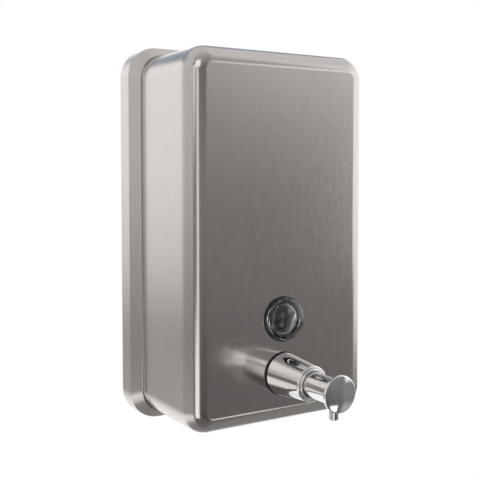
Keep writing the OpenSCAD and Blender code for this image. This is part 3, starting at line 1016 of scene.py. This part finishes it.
@dataclass
class SightWindow:
    """The clear dome that shows how full the tank is.

    Attributes:
        height: Height of the dome in front of its rim.
        rim: Radius of the dome's rim.
        rim_depth: Depth of the rim, from the dome's foot to the gasket.
        rim_edge: Radius of the rim's front edge.
        rim_back: Radius of the rim's rear edge.
        stem: Radius of the stem that passes the tank's wall.
        stem_wall: Thickness of the stem's wall.
        stem_edge: Width of the bevel round the stem's outer end.
        stem_bevel: Width of the bevel round the stem's mouth.
        well_floor: Depth from the gasket's face to the bottom of the stem's hollow.
        well_step: Width and height of the slope round the hollow's bottom.
        well_lift: How far behind the bottom's middle the slope's foot lies.
        gasket_gap: Clearance between the gasket and the stem.
        gasket_edge: Width of the bevel round the gasket's rear edge.
    """

    height: float = 7.4 * MM
    rim: float = 11.4 * MM
    rim_depth: float = 1.5 * MM
    rim_edge: float = 0.5 * MM
    rim_back: float = 0.3 * MM
    stem: float = 9.0 * MM
    stem_wall: float = 2.5 * MM
    stem_edge: float = 0.5 * MM
    stem_bevel: float = 0.2 * MM
    well_floor: float = 1.5 * MM
    well_step: Point = (1.5 * MM, 1.4 * MM)
    well_lift: float = 0.1 * MM
    gasket_gap: float = 0.1 * MM
    gasket_edge: float = 0.2 * MM

    def build(self) -> None:
        """Models the gasket and the lens."""
        self.gasket()
        self.lens()

    def gasket(self) -> None:
        """The black ring under the dome's rim."""
        low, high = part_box("window_gasket")
        axis = Vector((0, 0, middle("window_gasket").z))
        outer, bore = (high.x - low.x) / 2, self.stem + self.gasket_gap
        half = (high.y - low.y) / 2
        profile = [(bore, high.y), (outer - self.gasket_edge, high.y),
                   *arc((outer - half, low.y + half), half, 60, -90, 8), (bore, low.y)]
        ring = turn("window_gasket_ring", axis, profile, Ends.JOINED)
        polish(ring)
        settle(ring, Body.HOUSING, BLACK_RUBBER, "window_gasket")

    def lens(self) -> None:
        """The dome, its rim and its hollow stem, as one clear moulding."""
        low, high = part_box("window_lens")
        axis = Vector((0, 0, middle("window_lens").z))
        foot, shoulder = self.rim - self.rim_edge, low.y + self.height
        rear, bore = shoulder + self.rim_depth, self.stem - self.stem_wall
        crown = dome(low.y, self.height, foot, start=0.3, steps=28)
        edge = arc((foot, shoulder + self.rim_edge), self.rim_edge, -80, 0, 5)
        back = arc((self.rim - self.rim_back, rear - self.rim_back), self.rim_back, 0, 90, 3)
        stem = [(self.stem, rear), (self.stem, high.y - self.stem_edge),
                (self.stem - self.stem_edge, high.y), (bore + self.stem_bevel, high.y),
                (bore, high.y - self.stem_bevel)]
        across, along = self.well_step
        slope_foot = rear + self.well_floor + self.well_lift
        well = [(bore, slope_foot + along), (bore - across, slope_foot),
                (AXIS_GAP, rear + self.well_floor)]
        lens = turn("window_dome", axis, [*crown, *edge, *back, *stem, *well], Ends.CAPPED)
        polish(lens, angle=50.0)
        settle(lens, Body.HOUSING, CLEAR_ACRYLIC, "window_lens")


# ---- the pump ----


@dataclass
class PushPump:
    """The chrome push pump, from the gasket on the tank's face to the button.

    Attributes:
        tube: Radius of the plunger tube.
        tube_bore: Radius of the plunger's bore.
        tube_edge: Radius of the tube's edges.
        play: Clearance of the pieces that slide or fit into one another.
        spout: Outer radius of the spout.
        spout_wall: Thickness of the spout's wall.
        spout_tip: Radius of the spout's rolled tip.
        gasket_bore: Radius of the gasket's bore.
        gasket_edge: Radius of the gasket's edges.
        sleeve_foot: Radius of the sleeve's base.
        sleeve_edge: Radius of the edge round its base.
        sleeve_mouth: Radius of the sleeve's mouth.
        sleeve_bore: Radius of the sleeve's bore.
        bead: Radius of the rolled bead round the sleeve's mouth.
        lip_gap: How far the sleeve's inner lip stands off the tube.
        lip_start: Depth of the lip's front behind the sleeve's mouth.
        lip_stop: Depth of the lip's rear behind the sleeve's mouth.
        neck: How far the outside of the guide ring's neck stands off the tube.
        nose: Radius of the neck's rounded nose.
        nose_recess: How far behind the nose's tip the ring's bore starts.
        shoulder: Length of the neck, from its nose to the flange.
        flange: Radius of the guide ring's flange.
        flange_depth: Depth of the flange.
        tail: Radius of the guide ring behind its flange.
        crown: Height of the button's dome.
        button_edge: Radius of the button's front edge.
        button_back: Radius of the button's rear edge.
        wire: Radius of the spring's wire.
        turns: Turns of the spring.
        squashed: The share of its length that the spring keeps at full stroke; not used.
    """

    tube: float = 6.5 * MM
    tube_bore: float = 3.5 * MM
    tube_edge: float = 0.25 * MM
    play: float = 0.05 * MM
    spout: float = 2.2 * MM
    spout_wall: float = 0.7 * MM
    spout_tip: float = 0.35 * MM
    gasket_bore: float = 9.1 * MM
    gasket_edge: float = 0.3 * MM
    sleeve_foot: float = 11.2 * MM
    sleeve_edge: float = 0.4 * MM
    sleeve_mouth: float = 9.2 * MM
    sleeve_bore: float = 9.05 * MM
    bead: float = 0.9 * MM
    lip_gap: float = 1.45 * MM
    lip_start: float = 0.7 * MM
    lip_stop: float = 1.6 * MM
    neck: float = 1.4 * MM
    nose: float = 0.55 * MM
    nose_recess: float = 0.8 * MM
    shoulder: float = 2.65 * MM
    flange: float = 8.7 * MM
    flange_depth: float = 1.5 * MM
    tail: float = 7.45 * MM
    crown: float = 0.55 * MM
    button_edge: float = 0.45 * MM
    button_back: float = 0.35 * MM
    wire: float = 0.5 * MM
    turns: int = 8
    squashed: float = 0.5

    @property
    def axis(self) -> Vector:
        """Where the pump's axis meets the wall."""
        return Vector((0, 0, middle("valve_sleeve").z))

    def build(self) -> None:
        """Models every piece that shows, and the spring."""
        self.gasket()
        self.sleeve()
        self.guide_ring()
        self.plunger()
        self.button()
        self.outlet()
        self.spring()

    def gasket(self) -> None:
        """The black washer between the sleeve and the tank."""
        low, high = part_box("valve_gasket")
        bore, edge = self.gasket_bore, self.gasket_edge
        round_at = (high.x - low.x) / 2 - edge
        profile = [(bore, high.y), *arc((round_at, high.y - edge), edge, 90, 0, 4),
                   *arc((round_at, low.y + edge), edge, 0, -90, 4), (bore, low.y)]
        ring = turn("pump_gasket_ring", self.axis, profile, Ends.JOINED)
        polish(ring)
        settle(ring, Body.HOUSING, BLACK_RUBBER, "valve_gasket")

    def sleeve(self) -> None:
        """The tapered sleeve with a rolled bead at its mouth."""
        low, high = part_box("valve_sleeve")
        bore, lip_bore = self.sleeve_bore, self.tube + self.lip_gap
        edge, bead = self.sleeve_edge, self.bead
        foot = arc((self.sleeve_foot - edge, high.y - edge), edge, 90, 5, 5)
        rim = arc((self.sleeve_mouth - bead, low.y + bead), bead, 5, -140, 14)
        profile = [(bore, high.y), *foot, *rim, (lip_bore, low.y + self.lip_start),
                   (lip_bore, low.y + self.lip_stop), (bore, low.y + self.lip_stop)]
        self.turn_chromed("pump_sleeve", profile, Ends.JOINED, Body.HOUSING, "valve_sleeve")

    def guide_ring(self) -> None:
        """The ring in the sleeve's mouth that guides the plunger."""
        low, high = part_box("guide_bush")
        neck, bore = self.tube + self.neck, self.tube + self.play
        nose = arc((neck - self.nose, low.y + self.nose), self.nose, -160, 0, 10)
        front = low.y + self.shoulder
        rear = front + self.flange_depth
        profile = [(bore, low.y + self.nose_recess), *nose, (neck, front), (self.flange, front),
                   (self.flange, rear), (self.tail, rear), (self.tail, high.y), (bore, high.y)]
        self.turn_chromed("pump_guide_ring", profile, Ends.JOINED, Body.HOUSING, "guide_bush")

    def plunger(self) -> None:
        """The plunger tube, with the hole that the spout enters."""
        low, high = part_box("plunger_tube")
        edge = self.tube_edge
        round_at = self.tube - edge
        profile = [(self.tube_bore, high.y), *arc((round_at, high.y - edge), edge, 90, 0, 3),
                   *arc((round_at, low.y + edge), edge, 0, -90, 3), (self.tube_bore, low.y)]
        tube = turn("plunger_barrel", self.axis, profile, Ends.JOINED, sides=128)
        spout, level = middle("spout"), self.axis.z
        drill(tube, Vector((spout.x, spout.y, 0)), self.spout + self.play,
              (level - self.tube - MM, level), Facing.UP, sides=48)
        polish(tube, angle=30.0)
        settle(tube, Body.PLUNGER, CHROME, "plunger_tube")

    def button(self) -> None:
        """The domed button with its rounded rim and hollow back."""
        low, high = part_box("push_button")
        radius = (high.x - low.x) / 2
        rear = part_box("plunger_tube")[0].y - self.play
        edge, round_back = self.button_edge, self.button_back
        face = dome(low.y, self.crown, radius - edge, start=0.05, steps=20)
        rim = arc((radius - edge, low.y + self.crown + edge), edge, -78, 0, 8)
        back = arc((radius - round_back, rear - round_back), round_back, 0, 90, 5)
        spigot = self.tube_bore - self.play
        profile = [*face, *rim, *back, (spigot, rear), (spigot, high.y), (AXIS_GAP, high.y)]
        self.turn_chromed("pump_button", profile, Ends.CAPPED, Body.PLUNGER, "push_button")

    def turn_chromed(self, name: str, profile: Sequence[Point], ends: Ends, body: Body,
                     node: str) -> None:
        """Turns a chromed piece about the pump's axis, polishes it and settles it.

        Args:
            name: The piece's name.
            profile: Its profile, as (radius, place along the axis).
            ends: Whether the piece is capped or joined end to end.
            body: The body that it rides on.
            node: The CAD node that it replaces.
        """
        piece = turn(name, self.axis, profile, ends, sides=128)
        polish(piece, angle=30.0)
        settle(piece, body, CHROME, node)

    def outlet(self) -> None:
        """The spout, a short tube with a rolled tip."""
        low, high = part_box("spout")
        centre = middle("spout")
        bore, tip = self.spout - self.spout_wall, self.spout_tip
        profile = [(bore, high.z), (self.spout, high.z), (self.spout, low.z + tip),
                   *arc((self.spout - tip, low.z + tip), tip, 0, -180, 10)[1:], (bore, low.z + tip)]
        tube = turn("pump_spout", Vector((centre.x, centre.y, 0)), profile, Ends.JOINED, Facing.UP, 64)
        polish(tube, angle=30.0)
        settle(tube, Body.PLUNGER, CHROME, "spout")

    def spring(self) -> None:
        """The return spring, as a fixed coil on the housing."""
        low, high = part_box("return_spring")
        wire, steps = self.wire, 32 * self.turns
        mean = (high.x - low.x) / 2 - wire
        bpy.ops.object.select_all(action="DESELECT")
        bpy.ops.mesh.primitive_circle_add(vertices=12, radius=wire, rotation=(math.pi / 2, 0, 0),
                                          location=(mean, 0, 0), fill_type="NOTHING")
        coil = bpy.context.active_object
        coil.name = "pump_spring"
        bpy.ops.object.transform_apply(location=True, rotation=True, scale=True)
        modify(coil, "SCREW", axis="Z", angle=2 * math.pi * self.turns, steps=steps,
               render_steps=steps, screw_offset=high.y - low.y - 2 * wire, use_smooth_shade=True)
        with editing(coil):
            bpy.ops.mesh.select_non_manifold(extend=False)
            bpy.ops.mesh.edge_face_add()
            bpy.ops.mesh.select_all(action="SELECT")
            bpy.ops.mesh.normals_make_consistent(inside=False)
        activate(coil)
        coil.rotation_euler = (-math.pi / 2, 0, 0)
        coil.location = (0, low.y + wire, self.axis.z)
        bpy.ops.object.transform_apply(location=True, rotation=True, scale=True)
        settle(coil, Body.HOUSING, POLISHED_STEEL, "return_spring")
        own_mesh(coil)


# ---- the lid ----


@dataclass
class FillerLid:
    """The hinged and locked lid on top of the tank.

    Attributes:
        corner: Radius of the lid's corners.
        ease: How far its edges are rounded.
        lock_hole: Radius of the hole for the lock.
    """

    corner: float = 5.0 * MM
    ease: float = 0.3 * MM
    lock_hole: float = 4.0 * MM

    def build(self) -> None:
        """Models the lid plate, with the hole for its lock."""
        low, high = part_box("filler_lid")
        centre = (low + high) / 2
        wide, deep = high.x - low.x, high.y - low.y
        outlines = [RoundRect(Vector((centre.x, centre.y, z)), wide, deep, self.corner, Facing.UP,
                              steps=12) for z in (low.z, high.z)]
        plate = loft("lid_plate", outlines, Ends.CAPPED)
        lock = middle("lock_barrel")
        drill(plate, Vector((lock.x, lock.y, 0)), self.lock_hole, (low.z - MM, high.z + MM),
              Facing.UP, sides=64)
        ease_edges(plate, self.ease, segments=4)
        polish(plate)
        settle(plate, Body.LID, SATIN_STEEL, "filler_lid")


# ---- pieces whose CAD shape is right ----


@dataclass
class Hardware:
    """Brackets, nuts, hinge leaves and pump internals that keep their CAD shape.

    Attributes:
        frame: The loaded frame.
    """

    frame: dict

    def build(self) -> None:
        """Breaks the edges of what shows and dresses the rest."""
        eased = [
            ("tank_back", "back_sheet", Body.HOUSING, MILL_STEEL, 0.2),
            ("wall_plate", "hanging_plate", Body.HOUSING, MILL_STEEL, 0.25),
            ("hanger_channel", "hanger_strip", Body.HOUSING, MILL_STEEL, 0.25),
            ("filler_collar", "filler_rim", Body.HOUSING, MILL_STEEL, 0.2),
            ("lock_keeper", "keeper_block", Body.HOUSING, MILL_STEEL, 0.2),
            ("weld_nut", "plate_nut", Body.HOUSING, MILL_STEEL, 0.2),
            ("lock_screw", "locking_screw", Body.HOUSING, POLISHED_STEEL, 0.25),
            ("hinge_fixed_leaf", "hinge_leaf_fixed", Body.HOUSING, SATIN_STEEL, 0.12),
            ("hinge_pin", "hinge_pin_rod", Body.HOUSING, POLISHED_STEEL, 0.15),
            ("hinge_lid_leaf", "hinge_leaf_lid", Body.LID, SATIN_STEEL, 0.12),
            ("lock_housing", "lock_collar", Body.LID, CHROME, 0.15),
            ("lock_nut", "lock_clamp_nut", Body.LID, MILL_STEEL, 0.15),
            ("lock_barrel", "lock_plug", Body.LOCK, LOCK_BRASS, 0.12),
            ("lock_cam", "lock_cam_plate", Body.LOCK, MILL_STEEL, 0.15),
            ("cam_screw", "cam_fixing_screw", Body.LOCK, POLISHED_STEEL, 0.15),
            ("window_nut", "window_clamp_nut", Body.HOUSING, BLACK_PLASTIC, 0.3),
            ("valve_nut", "pump_clamp_nut", Body.HOUSING, WHITE_ACETAL, 0.3),
            ("intake_strainer", "strainer_cup", Body.HOUSING, GREY_PLASTIC, 0.1),
        ]
        for node, name, body, finish, width in eased:
            settle(eased_copy(self.frame, node, name, width * MM), body, finish, node)
        kept = {
            "lid_gasket": BLACK_RUBBER, "window_washer": BLACK_RUBBER, "valve_washer": BLACK_RUBBER,
            "outlet_valve": BLACK_RUBBER, "piston_seal": BLACK_RUBBER, "pump_cylinder": WHITE_ACETAL,
            "inlet_head": WHITE_ACETAL, "intake_tube": WHITE_ACETAL, "piston": WHITE_ACETAL,
            "ball_stop": POLISHED_STEEL, "inlet_ball": POLISHED_STEEL,
        }
        for node, finish in kept.items():
            self.dress(node, finish)

    def dress(self, node: str, finish: Finish) -> None:
        """Gives a CAD node its finish.

        Args:
            node: The node.
            finish: The finish.
        """
        for slot in self.frame["nodes"][node].material_slots:
            slot.material = finish.material()
        log.info("%s keeps its CAD shape, in %s", node, finish.name)


# ---- studio ----


@dataclass(frozen=True)
class Stop:
    """A panel's light at one height.

    Attributes:
        elevation: The height, in degrees.
        light: Its brightness.
        cool: How far it leans to blue.
        cover: How far it hides what stands behind, from 0 to 1.
    """

    elevation: float
    light: float
    cool: float = 0.0
    cover: float = 1.0


@dataclass(frozen=True)
class Panel:
    """An upright strip of the studio, seen only in the light that it gives and in the metal.

    Attributes:
        azimuth: Where its middle stands, in degrees from the front towards +X.
        half_width: Half its width, in degrees.
        edge: How wide its soft sides are, in degrees.
        stops: Its light from bottom to top.
    """

    azimuth: float
    half_width: float
    edge: float
    stops: tuple[Stop, ...]


def softbox(azimuth: float, elevation: float, half_width: float, half_height: float, edge: float,
            light: float, cool: float = 0.0) -> Panel:
    """A patch of light with soft edges.

    Args:
        azimuth: Where it stands, in degrees from the front towards +X.
        elevation: How high it stands, in degrees.
        half_width: Half its width, in degrees.
        half_height: Half its height, in degrees.
        edge: How wide its soft edges are, in degrees.
        light: Its brightness.
        cool: How far it leans to blue.

    Returns:
        The softbox, as a panel that is clear above and below.
    """
    out, inside = half_height + edge / 2, half_height - edge / 2
    stops = [Stop(elevation + place, light, cool, cover)
             for place, cover in ((-out, 0.0), (-inside, 1.0), (inside, 1.0), (out, 0.0))]
    return Panel(azimuth, half_width, edge, tuple(stops))


@dataclass
class Studio:
    """The floor, the light all round and the camera.

    Attributes:
        camera_place: Where the camera stands.
        camera_turn: How far it is turned to the right of straight ahead, in degrees.
        camera_tilt: How far it is tilted down, in degrees.
        lens: Its focal length, in millimetres.
        sensor: Its sensor's width, in millimetres.
        shift: How far its frame is shifted up, as a share of the frame's width.
        nearest: The least distance that it sees.
        floor_drop: How far the floor lies below the dispenser's middle.
        floor_size: The floor's width.
    """

    camera_place: tuple[float, float, float] = (-0.24053, -0.42261, 0.03512)
    camera_turn: float = 31.38
    camera_tilt: float = 3.12
    lens: float = 61.1
    sensor: float = 36.0
    shift: float = -0.05
    nearest: float = 0.01
    floor_drop: float = 0.6
    floor_size: float = 12.0

    def build(self) -> None:
        """Sets up the stage, the light and the camera."""
        self.camera()
        self.floor()
        self.light()
        bpy.context.scene.view_settings.view_transform = "Standard"

    def camera(self) -> None:
        """The camera, tilted down a little, with its frame shifted down for the rest."""
        data = bpy.data.cameras.new("camera")
        camera = bpy.data.objects.new("camera", data)
        bpy.context.scene.collection.objects.link(camera)
        camera.location = self.camera_place
        camera.rotation_euler = (math.radians(90.0 - self.camera_tilt), 0.0,
                                 -math.radians(self.camera_turn))
        data.sensor_width = self.sensor
        data.lens = self.lens
        data.shift_y = self.shift
        data.clip_start = self.nearest
        bpy.context.scene.camera = camera

    def floor(self) -> None:
        """A pale floor that only the camera sees, so that it throws no light up."""
        bpy.ops.object.select_all(action="DESELECT")
        bpy.ops.mesh.primitive_plane_add(size=self.floor_size, location=(0, 0, -self.floor_drop))
        floor = bpy.context.active_object
        floor.name = "floor"
        material = bpy.data.materials.new("pale_floor")
        material.use_nodes = True
        wiring = Wiring(material.node_tree)
        glow = wiring.add("Emission")
        glow.inputs["Color"].default_value = (1.0, 1.0, 1.0, 1.0)
        wiring.join(glow.outputs[0], material.node_tree.nodes["Material Output"].inputs["Surface"])
        floor.data.materials.append(material)
        for ray in ("diffuse", "glossy", "transmission", "shadow"):
            setattr(floor, "visible_" + ray, False)

    def light(self) -> None:
        """A soft grey room with softboxes, behind a white backdrop that only the camera sees."""
        world = bpy.data.worlds.new("studio")
        bpy.context.scene.world = world
        world.use_nodes = True
        w = Wiring(world.node_tree)
        room = self.room(w)
        backdrop = world.node_tree.nodes["Background"]
        backdrop.inputs["Color"].default_value = (1.0, 1.0, 1.0, 1.0)
        around = w.add("Background")
        w.join(room, around.inputs["Color"])
        seen = w.add("LightPath")
        mix = w.add("MixShader")
        w.join(seen.outputs["Is Camera Ray"], mix.inputs["Fac"])
        w.join(around.outputs[0], mix.inputs[1])
        w.join(backdrop.outputs[0], mix.inputs[2])
        w.join(mix.outputs[0], world.node_tree.nodes["World Output"].inputs["Surface"])

    def room(self, w: Wiring) -> bpy.types.NodeSocket:
        """The light from each direction.

        Args:
            w: The world's wiring.

        Returns:
            The light's colour.
        """
        direction = w.add("SeparateXYZ")
        w.join(w.add("TexCoord").outputs["Generated"], direction.inputs[0])
        ahead = w.maths("MULTIPLY", direction.outputs["Y"], -1.0)
        azimuth = w.maths("ARCTAN2", direction.outputs["X"], ahead)
        elevation = w.maths("ARCSINE", direction.outputs["Z"])
        height = w.maths("ADD", w.maths("DIVIDE", elevation, math.pi), 0.5)
        total = None
        for panel in STUDIO_PANELS:
            light, cover = self.panel(w, panel, azimuth, height)
            if total is None:
                total = light
                continue
            mix = w.add("Mix", data_type="RGBA")
            w.join(cover, mix.inputs["Factor"])
            w.join(total, mix.inputs["A"])
            w.join(light, mix.inputs["B"])
            total = mix.outputs["Result"]
        return total

    def panel(self, w: Wiring, panel: Panel, azimuth: bpy.types.NodeSocket,
              height: bpy.types.NodeSocket) -> tuple[bpy.types.NodeSocket, bpy.types.NodeSocket]:
        """One panel's light.

        Args:
            w: The world's wiring.
            panel: The panel.
            azimuth: The direction's azimuth, in radians.
            height: The direction's elevation, from 0 straight down to 1 straight up.

        Returns:
            Its colour, and how far it hides what stands behind it.
        """
        node = w.add("ValToRGB")
        w.join(height, node.inputs["Fac"])
        elements = node.color_ramp.elements
        elements.remove(elements[1])
        for stop in panel.stops:
            place = (stop.elevation + 90.0) / 180.0
            element = elements[0] if stop is panel.stops[0] else elements.new(place)
            element.position = place
            tint = (stop.light * (1 - stop.cool), stop.light, stop.light * (1 + stop.cool))
            element.color = (*tint, stop.cover)
        off = w.maths("SUBTRACT", azimuth, math.radians(panel.azimuth))
        around = w.maths("ABSOLUTE", w.maths("WRAP", off, math.pi, -math.pi))
        fade = w.add("MapRange", interpolation_type="SMOOTHSTEP")
        w.join(around, fade.inputs["Value"])
        fade.inputs["From Min"].default_value = math.radians(panel.half_width - panel.edge / 2)
        fade.inputs["From Max"].default_value = math.radians(panel.half_width + panel.edge / 2)
        fade.inputs["To Min"].default_value = 1.0
        fade.inputs["To Max"].default_value = 0.0
        cover = w.maths("MULTIPLY", fade.outputs["Result"], node.outputs["Alpha"])
        return node.outputs["Color"], cover


STUDIO_PANELS = (
    Panel(0.0, 200.0, 1.0, (
        Stop(-90, 0.30), Stop(-55, 0.36), Stop(-47, 0.60), Stop(-40, 1.10), Stop(-29, 1.15),
        Stop(-22, 0.80), Stop(-16, 0.50), Stop(-11, 0.46), Stop(-6, 0.90), Stop(0, 1.10),
        Stop(12, 1.22), Stop(22, 1.10, 0.02), Stop(27, 0.40, 0.16), Stop(42, 0.46, 0.16),
        Stop(52, 0.75, 0.02), Stop(90, 0.75))),
    Panel(-92.0, 42.0, 55.0, (
        Stop(-90, 0.30), Stop(-55, 0.36), Stop(-45, 0.90), Stop(-30, 1.10), Stop(-22, 0.60),
        Stop(-12, 0.32), Stop(0, 0.66), Stop(12, 0.74), Stop(40, 0.75), Stop(90, 0.75))),
    Panel(-8.0, 52.0, 14.0, (
        Stop(-90, 0.22), Stop(-40, 0.16), Stop(-22, 0.08), Stop(-12, 0.15), Stop(-5, 0.25),
        Stop(0, 0.28), Stop(12, 0.17), Stop(22, 0.30), Stop(60, 0.55), Stop(90, 0.70))),
    Panel(39.0, 12.0, 17.0, (
        Stop(-90, 0.24), Stop(-40, 0.20), Stop(-20, 0.16), Stop(-12, 0.20), Stop(-2, 0.25),
        Stop(3, 0.40), Stop(9, 0.75), Stop(13, 1.15), Stop(17, 1.05), Stop(22, 0.42),
        Stop(60, 0.60), Stop(90, 0.75))),
    Panel(84.0, 42.0, 4.0, (
        Stop(-90, 0.28), Stop(-40, 0.32), Stop(-24, 0.45), Stop(-19, 0.20), Stop(-16, 0.18),
        Stop(-14, 0.40), Stop(-10, 1.05), Stop(0, 1.28), Stop(20, 1.28), Stop(45, 0.85),
        Stop(90, 0.75))),
    softbox(-50.0, 12.0, 7.0, 9.0, 5.0, 1.1),
    softbox(-36.0, -23.0, 12.0, 12.0, 5.0, 1.5),
    softbox(-30.0, 27.0, 15.0, 13.0, 5.0, 1.4),
    softbox(49.0, -13.0, 9.0, 6.0, 3.0, 0.25),
    softbox(-30.0, -2.0, 5.0, 14.0, 5.0, 1.3),
    softbox(33.0, -25.5, 4.0, 3.0, 1.0, 1.6),
)


def main() -> None:
    """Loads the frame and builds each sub-assembly in turn."""
    logging.basicConfig(level=logging.INFO, format="%(name)s: %(message)s")
    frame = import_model()
    Studio().build()
    for assembly in (Tank(), BackPan(), SightWindow(), PushPump(), FillerLid(), Hardware(frame)):
        log.info("building %s", type(assembly).__name__)
        assembly.build()


if __name__ == "__main__":
    main()
